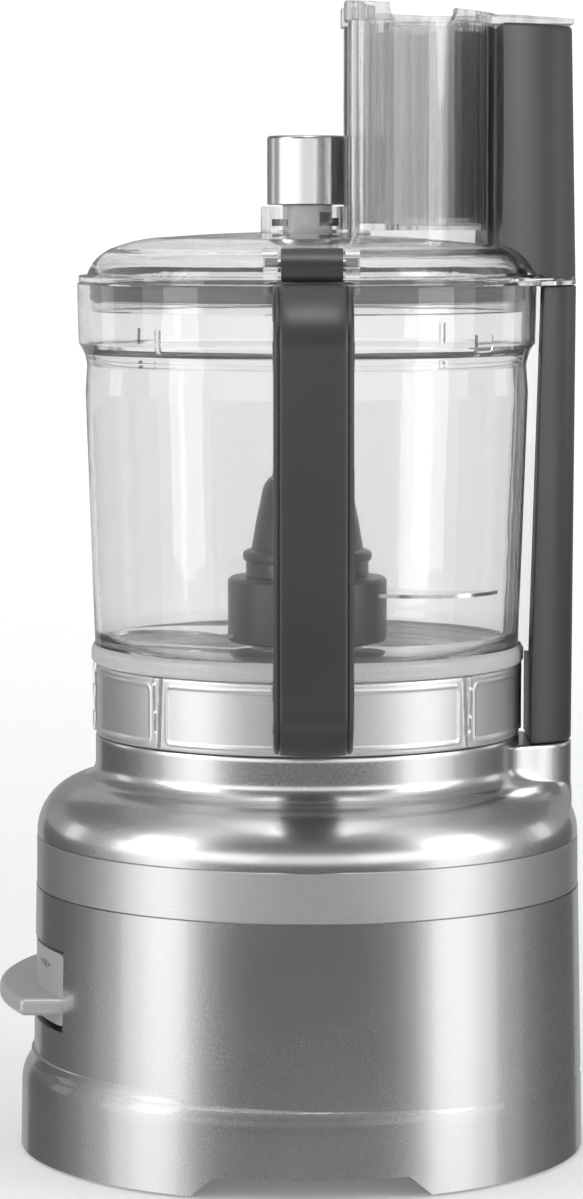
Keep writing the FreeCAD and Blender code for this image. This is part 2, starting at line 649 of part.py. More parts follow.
# Satin ring round the foot of the bowl, with upright ribs.
ring_out = spin("ring_outside", [
    (79.0, ring_low), (ring_rad - 0.5, ring_low), (ring_rad, ring_low + 0.5), (ring_rad + 0.1, 186.2),
    ("arc", (81.0, 189.6), (79.6, ring_high)), (79.0, ring_high)])
ribs = []
for k in range(8):
    a = 45 * k + 1.2
    if k in (0, 2):
        continue
    b = doc.addObject("Part::Box", "ring_rib_%d" % k)
    bind(b, Length=1.4, Width=1.6, Height=26)
    r = ROT(V(0, 0, 1), a)
    b.Placement = FreeCAD.Placement(V(0, 0, 160.2) + r.multVec(V(80.8, -0.8, 0)), r)
    ribs.append(b)
ring_web = tube("ring_web", 14.5, 79.4, 185.9, 187.3)
node("bowl_skirt_ring", fuse("bowl_skirt_ring", ring_out, ring_web, *ribs))

# Handle: a clear core joined to the bowl and a dark grip shell over it.
grip_out = [
    (92.2, handle_high), (126.0, handle_high), ("arc", (142.4, 327.0), (handle_out, 308.0)),
    (handle_out, 186.0), ("arc", (146.2, 173.4), (134.0, handle_low)), (84.2, handle_low)]
grip_in = [
    (84.2, 175.2), (131.0, 175.2), ("arc", (139.2, 178.4), (142.0, 187.0)),
    (142.0, 309.0), ("arc", (137.4, 321.4), (125.0, 326.2)), (92.2, 326.2)]
grip_raw = extrude("grip_raw", "XZ_Plane", grip_out + grip_in, handle_wide, both=True)
grip_screw_holes = [rod("grip_hole_%d" % k, 1.7, 6.2, 141.0, 0, z, "x") for k, z in enumerate((205, 292))]
node("handle_grip", cut("handle_grip", grip_raw, *grip_screw_holes))
core_out = [
    (collar_rad + 0.05, 326.2), (125.0, 326.2), ("arc", (137.4, 321.4), (142.0, 309.0)),
    (142.0, 187.0), ("arc", (139.2, 178.4), (131.0, 175.2)), (82.0, 175.2)]
core_in = [
    (82.0, 186.0), (118.0, 186.0), ("arc", (124.2, 188.6), (126.8, 195.0)),
    (128.4, 300.0), ("arc", (125.8, 308.8), (118.0, 312.0)), (collar_rad + 0.05, 312.0)]
core_raw = extrude("core_raw", "XZ_Plane", core_out + core_in, 28.8, both=True)
core_heads = [rod("core_head_%d" % k, 3.2, 5, 126.0, 0, z, "x") for k, z in enumerate((205, 292))]
core_thru = [rod("core_thru_%d" % k, 1.9, 30, 122.0, 0, z, "x") for k, z in enumerate((205, 292))]
node("handle_core", cut("handle_core", core_raw, *(core_heads + core_thru)))
node("handle_screws", group("handle_screws", *[
    fuse("handle_screw_%d" % k, rod("handle_screw_head_%d" % k, 3.0, 2.4, 128.6, 0, z, "x"),
         rod("handle_screw_shank_%d" % k, 1.7, 16.6, 130.4, 0, z, "x"))
    for k, z in enumerate((205, 292))]))

# Rear interlock column on the bowl.
col_raw = extrude("column_raw", "YZ_Plane", [
    (84.9, column_low), (101.8, column_low), (102.7, column_high), (88.9, column_high),
    (88.3, 320.0), (84.9, 192.0)], 60, both=True)
col_trim = cone("column_trim", column_rad - 0.7, column_rad + 0.2, column_mid, column_low, column_high)
col_cut = common("column_cut", col_raw, col_trim)
node("column_cover", cut("column_cover", col_cut, rod("column_bore", rod_bore, 200, 0, rod_y, 150),
     rod("column_pocket", 5.3, 24, 0, rod_y, 171)))
node("bowl_interlock_rod", fuse("bowl_interlock_rod",
     rod("bowl_rod", rod_rad, 173.9, 0, rod_y, 157.3),
     rod("bowl_rod_collar", 5.0, 2.0, 0, rod_y, 186)))
node("bowl_rod_spring", spring("bowl_rod_spring", 6, 4.2, 0.5, 171.1, 185.9))

# ---------------------------------------------------------------- drive adapter and blade
node("drive_adapter", spin("drive_adapter", [
    (chimney_rad + 0.6, 190.6), (19.0, 190.6), (19.0, 191.4), (adapter_rad, 191.4),
    (adapter_rad, 193.4), (14.6, 193.8), (14.2, 231.0), (12.7, 232.5), (0, 232.5),
    (0, 230.0), (shaft_rad + running_gap, 230.0), (shaft_rad + running_gap, 208.6),
    (chimney_rad + 0.6, 207.2)]))
node("blade_hub", spin("blade_hub", [
    (15.0, hub_low), (hub_rad - 0.8, hub_low), (hub_rad, hub_low + 0.8), (hub_rad, 218.4),
    (hub_rad - 1.2, 219.6), (23.6, 220.2), (23.6, 225.8), (24.4, 226.1), (24.8, 226.8),
    (24.8, 228.8), (24.0, 229.6), (21.5, 230.6), (19.4, 243.0), (17.4, 252.0),
    ("arc", (14.6, 257.6), (8.0, 260.2)), (0, 260.6), (0, 236.0), (13.6, 236.0), (15.0, 233.6)]))


def sickle(name, pts, z):
    return extrude(name, "XY_Plane", pts, blade_thick, base=z)


node("upper_blade", sickle("upper_blade", [
    (-11.0, 20.0), (13.0, 20.0), ("arc", (21.0, 50.0), (2.0, 73.2)), ("arc", (0.4, 73.6), (-1.0, 72.6)),
    ("arc", (4.4, 52.0), (-11.0, 34.0))], 213.0))
node("lower_blade", sickle("lower_blade", [
    (11.0, -20.0), (-13.0, -20.0), ("arc", (-21.6, -50.0), (-2.0, -74.6)),
    ("arc", (-0.4, -75.0), (1.0, -74.0)), ("arc", (-4.6, -52.0), (11.0, -34.0))], 197.0))

# ---------------------------------------------------------------- lid
dome_out = spin("dome_outside", [
    (0, lid_low), (lid_rad, lid_low), (lid_rad, 335.0), (lid_rad - 0.3, 335.3), (84.2, 335.6),
    ("arc", (81.1, 341.0), (74.6, 345.6)), ("arc", (64.4, 348.6), (53.2, 349.8)),
    ("arc", (30.0, 351.2), (0, 351.8))])
dome_in = spin("dome_inside", [
    (0, lid_low - 2), (79.0, lid_low - 2), (80.6, 335.4), ("arc", (78.6, 339.8), (73.4, 343.2)),
    ("arc", (64.0, 346.2), (53.0, 347.4)), ("arc", (30.0, 348.8), (0, 349.4))])
lip = spin("lid_lip", [
    (79.0, 321.8), (81.9, 321.8), (82.5, 322.4), (82.5, 325.4), (81.2, 325.8), (81.2, 332.4), (83.5, 333.4),
    (83.5, 334.6), (79.0, 334.6)])


def kidney(d):
    """Plan of the feed tube, drawn d inside its outer face."""
    r = 47.2 - d
    return [(r, 24.1), ("arc", (0, 24.1 + r), (-r, 24.1)),
            ("arc", (-(44.8 - 0.84 * d), 17.4 + 0.6 * d), (-38.0, 14.6 + d)),
            (-(17.5 + 0.5 * d), 14.6 + d), ("arc", (0, 21.6 + d), (17.5 + 0.5 * d, 14.6 + d)),
            (38.0, 14.6 + d), ("arc", (44.8 - 0.84 * d, 17.4 + 0.6 * d), (r, 24.1))]


tube_solid = extrude("tube_solid", "XY_Plane", kidney(0), tube_top - 345.0, base=345.0)
tube_void = extrude("tube_void", "XY_Plane", kidney(2.4), 110, base=335.5)
knob_collar = rod("knob_collar", 17.85, 361.4 - 349.5, 0, 0, 349.5)
knob_pocket = rod("knob_pocket", 16.3, 20, 0, 0, 352.6)
stem_bore = rod("stem_bore", 9.6, 30, 0, 0, 340)
stem_guide = rod("stem_guide", 12.0, 9, 0, 0, 342.0)
ears = []
for k, s in enumerate((-1, 1)):
    y0, y1 = (12.2, 17.4) if s > 0 else (-17.4, -12.2)
    e = extrude("ear_%d" % k, "XZ_Plane", [
        (82.0, 334.0), (98.0, 334.6), (98.0, 342.0), ("arc", (96.2, 345.6), (92.5, 346.4)),
        (86.0, 346.4), (80.0, 342.6)], 5.2, base=-y1)
    ears.append(e)
    ty0, ty1 = (15.2, 17.4) if s > 0 else (-17.4, -15.2)
    ears.append(block("ear_tab_%d" % k, 89.2, 97.0, ty0, ty1, 329.5, 336))
rear_plate = common("rear_plate", block("rear_plate_box", -60, 60, 74, 104, 331.9, 334.5),
                    rod("rear_plate_round", cover_rad + 0.1, 2.6, 0, cover_mid, 331.9))
plate_trim = rod("plate_trim", 88.6, 3.2, 0, 0, 330)
plate_cut = cut("plate_cut", rear_plate, plate_trim)
plate_hole = rod("plate_hole", rod_bore + 0.2, 10, 0, rod_y, 328)
lid_solid = fuse("lid_solid", dome_out, tube_solid, knob_collar, plate_cut, *ears)
lid_hollow = cut("lid_hollow", lid_solid, dome_in)
lid_whole = fuse("lid_whole", lid_hollow, lip, stem_guide)
ear_hole = rod("ear_hole", pin_rad, 50, 92, -25, 341, "y")
node("lid", cut("lid", lid_whole, tube_void, knob_pocket, stem_bore, plate_hole, ear_hole))
node("lid_gasket", spin("lid_gasket", [
    (81.2, 326.0), (82.6, 326.0), (83.2, 327.2), (82.7, 329.0), (83.2, 330.8), (82.6, 332.2), (81.2, 332.2)]))
node("latch_pin", rod("latch_pin", pin_rad, 33.6, 92, -16.8, 341, "y"))

# Rear cover of the feed tube.
tc_box = block("tube_cover_box", -60, 60, 71.8, 104, 334.5, 429.3)
tc_round = cone("tube_cover_round", cover_rad, cover_rad - 1.9, cover_mid, 334.5, 429.3)
tc_cut = cut("tube_cover_cut", common("tube_cover_raw", tc_box, tc_round), dome_out)
node("tube_cover", cut("tube_cover", tc_cut, rod("cover_bore", rod_bore, 120, 0, rod_y, 330),
     rod("cover_pocket", 5.3, 24, 0, rod_y, 345)))
node("lid_interlock_rod", fuse("lid_interlock_rod",
     rod("lid_rod", rod_rad, 97.4, 0, rod_y, 331.6),
     rod("lid_rod_collar", 5.0, 2.0, 0, rod_y, 360)))
node("lid_rod_spring", spring("lid_rod_spring", 6, 4.2, 0.5, 345.1, 359.9))

# Latch over the handle.
latch_raw = extrude("latch_raw", "XZ_Plane", [
    (88.6, 337.4), (96.0, 337.2), (98.6, 334.7), (113.0, 334.5), ("arc", (114.4, 335.4), (114.8, 337.0)),
    (114.5, 339.6), ("arc", (112.2, 344.4), (107.2, 346.4)), (90.0, 346.4), ("arc", (87.4, 343.6), (86.8, 340.6))],
    2 * latch_half, both=True)
node("latch", cut("latch", latch_raw,
     rod("latch_bore", pin_rad + running_gap, 40, 92, -20, 341, "y"),
     rod("latch_spring_pocket", 3.2, 8, 92, -4, 341, "y")))
l_rings = []
for k in range(4):
    t = doc.addObject("Part::Torus", "latch_coil_%d" % k)
    bind(t, Radius1=2.4, Radius2=0.4)
    place(t, 92, -2.7 + 1.8 * k, 341, ROT(V(1, 0, 0), 90))
    l_rings.append(t)
node("latch_spring", group("latch_spring", *l_rings))

# Slicing knob and its bayonet stem.
node("slice_knob", spin("slice_knob", [
    (0, knob_low), (knob_rad - 0.5, knob_low), (knob_rad, knob_low + 0.5),
    (knob_rad, knob_low + knob_tall - 1.2), ("arc", (15.05, 387.85), (14.2, knob_low + knob_tall)),
    (0, knob_low + knob_tall)]))
stem = rod("stem_core", 9.52, 361.9 - 338, 0, 0, 338)
node("knob_stem", cut("knob_stem", stem, rod("stem_socket", 5.2, 12, 0, 0, 336)))
lug_left = cut("lug_left", block("lug_left_raw", -2, 6, -13.3, -7.0, 354.0, 356.6),
               rod("lug_left_core", 9.52, 20, 0, 0, 345))
lug_right = cut("lug_right", fuse("lug_right_raw", block("lug_right_low", 3, 10.8, 4.4, 11.3, 354.0, 357.1),
                                  block("lug_right_high", 3, 10.8, 4.4, 8.8, 357.0, 359.2)),
                rod("lug_right_core", 9.52, 20, 0, 0, 345))
node("knob_lugs", group("knob_lugs", lug_left, lug_right))

# ---------------------------------------------------------------- pushers
ROUND = (0, 45.0)
lp_body = extrude("pusher_body", "XY_Plane", kidney(2.9), 431.0 - 352.5, base=352.5)
lp_void = extrude("pusher_void", "XY_Plane", kidney(4.9), 90, base=355.0)
lp_rim = extrude("pusher_rim", "XY_Plane", kidney(-1.2), 7.4, base=430.3)
lp_rim_void = extrude("pusher_rim_void", "XY_Plane", kidney(4.9), 20, base=428.0)
lp_round = rod("pusher_round", 19.6, 427.0 - 352.5, 0, 45, 352.5)
lp_shell = cut("pusher_shell", fuse("pusher_fused", lp_body, lp_rim), lp_void, lp_rim_void)
lp_lip = block("pusher_lip", 20, 32, 11.6, 13.8, 424.0, 431.5)
lp_tab = extrude("pusher_tab", "XY_Plane", [
    (-18, 68.0), (18, 68.0), (16, 97.0), ("arc", (14.6, 99.6), (12, 100.4)),
    (-12, 100.4), ("arc", (-14.6, 99.6), (-16, 97.0))], 3.4, base=430.0)
lp_tab_trim = cut("pusher_tab_trim", lp_tab, extrude("tab_trim", "XY_Plane", kidney(0.5), 20, base=425.0))
lp_all = fuse("pusher_all", lp_shell, lp_round, lp_tab_trim)
slope = doc.addObject("Part::Box", "pusher_slope")
bind(slope, Length=140, Width=120, Height=20)
slope.Placement = FreeCAD.Placement(V(-70, 5, 437.9), ROT(V(1, 0, 0), -3.6))
thumb = rod("thumb_notch", 12.5, 30, 30, 42, 437.2, "x")
node("large_pusher", cut("large_pusher", lp_all, rod("pusher_round_bore", 17.6, 120, 0, 45, 340),
     slope, thumb))
sp_out = spin("small_pusher_out", [
    (0, 354.0), (16.6, 354.0), (17.2, 354.8), (17.3, 430.0), (16.9, 430.6), (14.9, 430.6), (14.9, 357.0), (0, 357.0)],
    (0, 45, 0))
node("small_pusher", sp_out)

# ---------------------------------------------------------------- checks and export
doc.recompute()
bad = 0
for o in doc.Objects:
    if "Invalid" in o.State or "Error" in o.State:
        print("object failed:", o.Name, o.State)
        bad += 1
for name, o in nodes:
    s = o.Shape
    if s.isNull() or not s.isValid() or not s.Solids:
        print("bad shape:", name)
        bad += 1
if bad:
    raise RuntimeError("%d objects failed" % bad)
os.makedirs("parts", exist_ok=True)
for name, o in nodes:
    o.Shape.exportStep("parts/%s.step" % name)
    b = o.Shape.BoundBox
    print("%-22s solids %d vol %9.1f  x %.1f %.1f y %.1f %.1f z %.1f %.1f" % (
        name, len(o.Shape.Solids), o.Shape.Volume, b.XMin, b.XMax, b.YMin, b.YMax, b.ZMin, b.ZMax))
print(len(nodes), "nodes")
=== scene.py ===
import bpy
import bmesh
import json
import math
from mathutils import Vector, Matrix


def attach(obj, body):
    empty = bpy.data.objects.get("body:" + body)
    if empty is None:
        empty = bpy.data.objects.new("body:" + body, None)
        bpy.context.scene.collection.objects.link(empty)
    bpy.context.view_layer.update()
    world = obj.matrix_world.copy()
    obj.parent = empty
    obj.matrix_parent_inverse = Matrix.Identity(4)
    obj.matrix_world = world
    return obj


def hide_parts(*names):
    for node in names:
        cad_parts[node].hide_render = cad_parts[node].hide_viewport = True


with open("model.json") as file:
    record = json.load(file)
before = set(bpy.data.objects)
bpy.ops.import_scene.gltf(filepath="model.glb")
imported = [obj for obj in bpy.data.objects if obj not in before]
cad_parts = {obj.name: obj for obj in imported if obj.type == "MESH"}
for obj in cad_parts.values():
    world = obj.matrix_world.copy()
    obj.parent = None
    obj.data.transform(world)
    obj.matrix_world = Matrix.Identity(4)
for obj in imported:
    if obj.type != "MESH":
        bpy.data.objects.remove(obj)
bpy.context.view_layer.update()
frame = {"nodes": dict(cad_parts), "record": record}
NODES = frame["nodes"]
scene = bpy.context.scene
MM = 0.001


# ------------------------------------------------------------------ node helpers
class Mat(object):
    """A small builder for one procedural material."""

    def __init__(self, name):
        self.m = bpy.data.materials.new(name)
        self.m.use_nodes = True
        self.t = self.m.node_tree
        self.p = self.t.nodes["Principled BSDF"]

    def add(self, kind, **props):
        n = self.t.nodes.new(kind)
        for k, v in props.items():
            setattr(n, k, v)
        return n

    def set(self, **kw):
        for k, v in kw.items():
            self.p.inputs[k.replace("_", " ")].default_value = v
        return self

    def link(self, a, b):
        self.t.links.new(a, b)

    def coords(self):
        return self.add("ShaderNodeTexCoord").outputs["Object"]

    def math(self, op, a, b=None):
        n = self.add("ShaderNodeMath", operation=op)
        for i, v in enumerate((a, b)):
            if v is None:
                continue
            if isinstance(v, (int, float)):
                n.inputs[i].default_value = v
            else:
                self.link(v, n.inputs[i])
        return n.outputs[0]

    def noise(self, vec, scale, detail=2.0, rough=0.5):
        n = self.add("ShaderNodeTexNoise")
        self.link(vec, n.inputs["Vector"])
        n.inputs["Scale"].default_value = scale
        n.inputs["Detail"].default_value = detail
        n.inputs["Roughness"].default_value = rough
        return n.outputs[0]

    def remap(self, val, lo, hi, from_lo=0.3, from_hi=0.7):
        n = self.add("ShaderNodeMapRange")
        self.link(val, n.inputs["Value"])
        n.inputs["From Min"].default_value = from_lo
        n.inputs["From Max"].default_value = from_hi
        n.inputs["To Min"].default_value = lo
        n.inputs["To Max"].default_value = hi
        return n.outputs[0]

    def ramp(self, val, stops):
        n = self.add("ShaderNodeValToRGB")
        r = n.color_ramp
        while len(r.elements) < len(stops):
            r.elements.new(0.5)
        for e, (pos, col) in zip(r.elements, stops):
            e.position = pos
            e.color = (*col, 1.0) if len(col) == 3 else col
        self.link(val, n.inputs[0])
        return n.outputs[0]

    def bump(self, height, strength, distance):
        n = self.add("ShaderNodeBump")
        n.inputs["Strength"].default_value = strength
        n.inputs["Distance"].default_value = distance
        self.link(height, n.inputs["Height"])
        self.link(n.outputs[0], self.p.inputs["Normal"])
        return n


def around_z(m, k_angle, k_z, k_r=0.0):
    """Coordinates that run round the drive axis, for brushing and turning marks."""
    sep = m.add("ShaderNodeSeparateXYZ")
    m.link(m.coords(), sep.inputs[0])
    ang = m.math("ARCTAN2", sep.outputs[1], sep.outputs[0])
    comb = m.add("ShaderNodeCombineXYZ")
    m.link(m.math("MULTIPLY", ang, k_angle), comb.inputs[0])
    m.link(m.math("MULTIPLY", sep.outputs[2], k_z), comb.inputs[1])
    if k_r:
        rr = m.math("ADD", m.math("MULTIPLY", sep.outputs[0], sep.outputs[0]),
                    m.math("MULTIPLY", sep.outputs[1], sep.outputs[1]))
        m.link(m.math("MULTIPLY", m.math("SQRT", rr), k_r), comb.inputs[2])
    return comb.outputs[0]


def silver_paint(name="silver_paint", ease=None):
    m = Mat(name)
    m.set(Metallic=0.92, Coat_Weight=0.7, Coat_Roughness=0.05)
    c = m.coords()
    flake = m.noise(c, 4200.0, 2.0, 0.6)
    cloud = m.noise(c, 16.0, 2.0)
    m.link(m.ramp(flake, [(0.30, (0.49, 0.49, 0.495)), (0.52, (0.56, 0.56, 0.565)), (0.72, (0.65, 0.65, 0.65))]),
           m.p.inputs["Base Color"])
    m.link(m.math("ADD", m.remap(flake, 0.235, 0.275), m.remap(cloud, -0.015, 0.015)), m.p.inputs["Roughness"])
    b = m.bump(flake, 0.03, 0.0001)
    if ease is not None:
        # The moulded step low on the drum is soft: its slope is eased in the shading.
        g = m.add("ShaderNodeNewGeometry")
        mul = m.add("ShaderNodeVectorMath", operation="MULTIPLY")
        m.link(g.outputs["Normal"], mul.inputs[0])
        mul.inputs[1].default_value = (1.0, 1.0, ease)
        nrm = m.add("ShaderNodeVectorMath", operation="NORMALIZE")
        m.link(mul.outputs[0], nrm.inputs[0])
        m.link(nrm.outputs[0], b.inputs["Normal"])
    return m.m


def brushed_band():
    m = Mat("brushed_band")
    m.set(Metallic=0.90, Anisotropic=0.55, Anisotropic_Rotation=0.25)
    v = around_z(m, 9.0, 9000.0)
    n = m.noise(v, 1.0, 4.0, 0.65)
    v2 = around_z(m, 3.0, 2500.0)
    n2 = m.noise(v2, 1.0, 2.0)
    mixed = m.math("ADD", m.math("MULTIPLY", n, 0.6), m.math("MULTIPLY", n2, 0.4))
    m.link(m.ramp(mixed, [(0.25, (0.50, 0.50, 0.505)), (0.5, (0.58, 0.58, 0.585)), (0.75, (0.66, 0.66, 0.66))]),
           m.p.inputs["Base Color"])
    m.link(m.remap(mixed, 0.30, 0.40), m.p.inputs["Roughness"])
    m.bump(mixed, 0.12, 0.0002)
    return m.m


def clear_plastic(name, tint=(0.905, 0.905, 0.905), rough=0.015, ior=1.46):
    m = Mat(name)
    m.set(Base_Color=(*tint, 1.0), Transmission_Weight=0.96, IOR=ior)
    c = m.coords()
    soft = m.noise(c, 35.0, 2.0)
    fine = m.noise(c, 700.0, 2.0)
    m.link(m.math("ADD", m.remap(soft, rough * 0.5, rough * 1.6), m.remap(fine, 0.0, 0.012)), m.p.inputs["Roughness"])
    m.bump(soft, 0.06, 0.002)
    return m.m


def pusher_plastic(name):
    """Clear moulding with the upright draw lines of a deep cup, and painted shade at the top: a darker tint there
    stands in for the look of the thick rim.
    """
    m = Mat(name)
    m.set(Transmission_Weight=0.96, IOR=1.33)
    c = m.coords()
    mp = m.add("ShaderNodeMapping")
    mp.inputs["Scale"].default_value = (190.0, 190.0, 1.6)
    m.link(c, mp.inputs[0])
    streak = m.noise(mp.outputs[0], 1.0, 2.0, 0.6)
    sep = m.add("ShaderNodeSeparateXYZ")
    m.link(c, sep.inputs[0])
    # Painted shade: above the rim's height the tint falls to 0.8, standing in for the shade a thick clear rim shows.
    rim = m.remap(sep.outputs[2], 1.0, 0.80, 0.4292, 0.4304)
    v = m.math("MULTIPLY", m.remap(streak, 0.74, 0.985, 0.38, 0.56), rim)
    comb = m.add("ShaderNodeCombineColor")
    for i in range(3):
        m.link(v, comb.inputs[i])
    m.link(comb.outputs[0], m.p.inputs["Base Color"])
    fine = m.noise(c, 700.0, 2.0)
    m.link(m.remap(fine, 0.008, 0.024), m.p.inputs["Roughness"])
    m.bump(streak, 0.5, 0.0014)
    return m.m


def dark_plastic(name="dark_plastic", base=0.036, rough=0.36):
    m = Mat(name)
    m.set(Specular_IOR_Level=0.5)
    c = m.coords()
    grain = m.noise(c, 1500.0, 3.0, 0.6)
    cloud = m.noise(c, 22.0, 3.0)
    m.link(m.ramp(cloud, [(0.3, (base * 0.92,) * 3), (0.7, (base * 1.10, base * 1.10, base * 1.12))]),
           m.p.inputs["Base Color"])
    m.link(m.math("ADD", m.remap(grain, rough - 0.04, rough + 0.05), m.remap(cloud, -0.02, 0.02)),
           m.p.inputs["Roughness"])
    m.bump(grain, 0.10, 0.00015)
    return m.m


def satin_ring():
    m = Mat("satin_ring")
    m.set(Metallic=0.80, Coat_Weight=0.5, Coat_Roughness=0.08)
    c = m.coords()
    flake = m.noise(c, 2200.0, 2.0, 0.6)
    cloud = m.noise(c, 30.0, 2.0)
    m.link(m.ramp(flake, [(0.3, (0.58, 0.58, 0.585)), (0.7, (0.68, 0.68, 0.685))]), m.p.inputs["Base Color"])
    m.link(m.math("ADD", m.remap(flake, 0.33, 0.40), m.remap(cloud, -0.02, 0.02)), m.p.inputs["Roughness"])
    m.bump(flake, 0.04, 0.0002)
    return m.m


def frost():
    """Frosted clear moulding: scatters most of what passes through it."""
    m = Mat("frost")
    m.set(Transmission_Weight=0.55, IOR=1.42, Coat_Weight=0.3, Coat_Roughness=0.08)
    c = m.coords()
    n = m.noise(c, 900.0, 3.0, 0.6)
    m.link(m.ramp(n, [(0.3, (0.80, 0.80, 0.805)), (0.7, (0.90, 0.90, 0.905))]), m.p.inputs["Base Color"])
    m.link(m.remap(n, 0.34, 0.46), m.p.inputs["Roughness"])
    m.bump(n, 0.05, 0.0002)
    return m.m


def paddle_plastic():
    m = Mat("paddle_plastic")
    m.set(Metallic=0.35)
    c = m.coords()
    flake = m.noise(c, 2400.0, 2.0, 0.6)
    m.link(m.ramp(flake, [(0.3, (0.40, 0.40, 0.405)), (0.7, (0.52, 0.52, 0.525))]), m.p.inputs["Base Color"])
    m.link(m.remap(flake, 0.36, 0.44), m.p.inputs["Roughness"])
    m.bump(flake, 0.04, 0.0002)
    return m.m


def turned_metal(name, base=0.82, lo=0.12, hi=0.22, aniso=0.5):
    m = Mat(name)
    m.set(Metallic=1.0, Anisotropic=aniso)
    v = around_z(m, 1.2, 5000.0, 5000.0)
    n = m.noise(v, 1.0, 3.0, 0.6)
    m.link(m.ramp(n, [(0.3, (base * 0.9,) * 3), (0.7, (base, base, base))]), m.p.inputs["Base Color"])
    m.link(m.remap(n, lo, hi), m.p.inputs["Roughness"])
    m.bump(n, 0.05, 0.0001)
    return m.m


def ground_steel(name="ground_steel", base=0.72, lo=0.14, hi=0.26):
    m = Mat(name)
    m.set(Metallic=1.0)
    mp = m.add("ShaderNodeMapping")
    mp.inputs["Scale"].default_value = (2500.0, 60.0, 2500.0)
    m.link(m.coords(), mp.inputs[0])
    n = m.noise(mp.outputs[0], 1.0, 3.0, 0.6)
    m.link(m.ramp(n, [(0.3, (base * 0.85,) * 3), (0.7, (base, base, base))]), m.p.inputs["Base Color"])
    m.link(m.remap(n, lo, hi), m.p.inputs["Roughness"])
    m.bump(n, 0.08, 0.0001)
    return m.m


def plain(name, colour, rough=0.45, metallic=0.0, scale=900.0, vary=0.12, bump=0.06):
    m = Mat(name)
    m.set(Metallic=metallic)
    c = m.coords()
    n = m.noise(c, scale, 3.0)
    lo = tuple(x * (1 - vary) for x in colour)
    hi = tuple(min(1.0, x * (1 + vary)) for x in colour)
    m.link(m.ramp(n, [(0.3, lo), (0.7, hi)]), m.p.inputs["Base Color"])
    m.link(m.remap(n, rough - 0.05, rough + 0.05), m.p.inputs["Roughness"])
    m.bump(n, bump, 0.0002)
    return m.m


def windings():
    m = Mat("windings")
    m.set(Metallic=0.6)
    v = around_z(m, 160.0, 30.0)
    n = m.add("ShaderNodeTexWave", wave_type="BANDS")
    m.link(v, n.inputs["Vector"])
    n.inputs["Scale"].default_value = 1.0
    n.inputs["Distortion"].default_value = 1.5
    m.link(m.ramp(n.outputs[1], [(0.2, (0.20, 0.06, 0.02)), (0.8, (0.62, 0.27, 0.10))]), m.p.inputs["Base Color"])
    m.set(Roughness=0.35)
    m.bump(n.outputs[1], 0.5, 0.0005)
    return m.m


def laminations():
    m = Mat("laminations")
    m.set(Metallic=0.9)
    v = around_z(m, 1.0, 2500.0)
    n = m.noise(v, 1.0, 2.0)
    m.link(m.ramp(n, [(0.3, (0.10, 0.10, 0.11)), (0.7, (0.34, 0.34, 0.35))]), m.p.inputs["Base Color"])
    m.link(m.remap(n, 0.35, 0.55), m.p.inputs["Roughness"])
    m.bump(n, 0.3, 0.0003)
    return m.m


M = {
    "silver_paint": silver_paint(),
    "drum_paint": silver_paint("drum_paint", 0.20),
    "band_metal": brushed_band(),
    "clear_plastic": clear_plastic("clear_plastic"),
    "dark_plastic": dark_plastic(),
    "satin_ring": satin_ring(),
    "paddle_plastic": paddle_plastic(),
    "knob_metal": turned_metal("knob_metal", 0.55, 0.18, 0.26, 0.3),
    "clear_inner": pusher_plastic("clear_inner"),
    "frost": frost(),
    "blade_steel": ground_steel("blade_steel"),
    "adapter_metal": plain("adapter_metal", (0.62, 0.62, 0.63), 0.3, 1.0, 1200.0),
    "shaft_steel": turned_metal("shaft_steel", 0.6, 0.18, 0.3),
    "lamination": laminations(),
    "copper": windings(),
    "bracket_metal": plain("bracket_metal", (0.5, 0.5, 0.51), 0.5, 0.9, 500.0, 0.15, 0.25),
    "bearing_steel": turned_metal("bearing_steel", 0.62, 0.15, 0.28),
    "fixing_steel": plain("fixing_steel", (0.5, 0.5, 0.52), 0.32, 1.0, 1200.0),
    "black_plastic": dark_plastic("black_plastic", 0.022, 0.42),
    "grey_base_plastic": dark_plastic("grey_base_plastic", 0.14, 0.5),
    "rubber": plain("rubber", (0.022, 0.022, 0.023), 0.72, 0.0, 1600.0, 0.2, 0.2),
    "gasket_rubber": plain("gasket_rubber", (0.075, 0.075, 0.08), 0.5, 0.0, 900.0),
    "circuit": plain("circuit", (0.03, 0.20, 0.08), 0.4, 0.0, 300.0, 0.2),
    "capacitor_can": plain("capacitor_can", (0.66, 0.66, 0.68), 0.3, 1.0, 700.0),
}

SLOT = {s["node"]: s["material_slot"] for s in frame["record"]["subparts"]}
for name, o in NODES.items():
    mat = M[{"large_pusher": "clear_inner", "small_pusher": "clear_inner", "knob_stem": "frost",
           "base_housing": "drum_paint", "skirt_lobes": "drum_paint"}.get(name, SLOT[name])]
    if not o.material_slots:
        o.data.materials.append(mat)
    for s in o.material_slots:
        s.material = mat


# ------------------------------------------------------------------ mesh makers
def arc3(a, m, b, n):
    """Points after a on the circle from a through m to b, b included. All 2-D."""
    ax, ay, mx, my, bx, by = a[0], a[1], m[0], m[1], b[0], b[1]
    d = 2 * (ax * (my - by) + mx * (by - ay) + bx * (ay - my))
    ux = ((ax * ax + ay * ay) * (my - by) + (mx * mx + my * my) * (by - ay) + (bx * bx + by * by) * (ay - my)) / d
    uy = ((ax * ax + ay * ay) * (bx - mx) + (mx * mx + my * my) * (ax - bx) + (bx * bx + by * by) * (mx - ax)) / d
    r = math.hypot(ax - ux, ay - uy)
    t0, tm, t1 = (math.atan2(p[1] - uy, p[0] - ux) for p in (a, m, b))
    ccw = (mx - ax) * (by - my) - (my - ay) * (bx - mx) > 0
    if ccw:
        while t1 < t0:
            t1 += 2 * math.pi
    else:
        while t1 > t0:
            t1 -= 2 * math.pi
    return [(ux + r * math.cos(t0 + (t1 - t0) * i / n), uy + r * math.sin(t0 + (t1 - t0) * i / n))
            for i in range(1, n + 1)]


def run(a, b, n):
    return [(a[0] + (b[0] - a[0]) * i / n, a[1] + (b[1] - a[1]) * i / n) for i in range(1, n + 1)]


